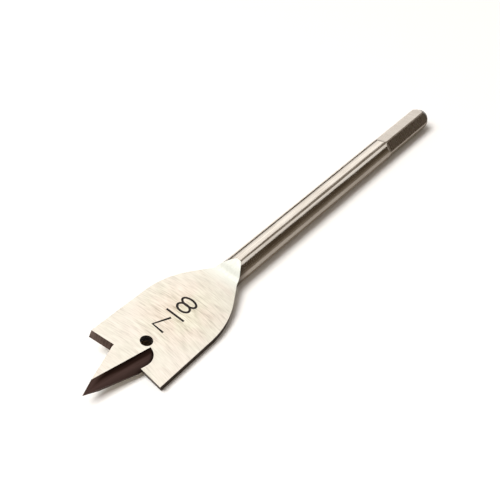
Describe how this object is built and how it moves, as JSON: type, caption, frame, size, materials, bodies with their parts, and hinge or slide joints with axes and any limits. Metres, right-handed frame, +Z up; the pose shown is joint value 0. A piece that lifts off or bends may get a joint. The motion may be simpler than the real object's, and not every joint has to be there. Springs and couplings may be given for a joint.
{
  "type": "spade drill bit",
  "caption": "Flat spade drill bit with a ground point, fluted lips, a wire hole in the blade and a hexagonal driven end on a round shank, for boring wood.",
  "frame": {"origin": "on the shank's axis at the flat end face of the driven end", "axes": "+X along the shank's axis to the point, +Z up with the bit lying at rest on its shank and the edge of one wing, +Y towards that wing"},
  "size_m": [0.1524, 0.022, 0.007],
  "materials": {
    "ground_steel": "ground"
  },
  "bodies": {
    "root": {"spade_bit": "ground_steel"}
  },
  "joints": []
}
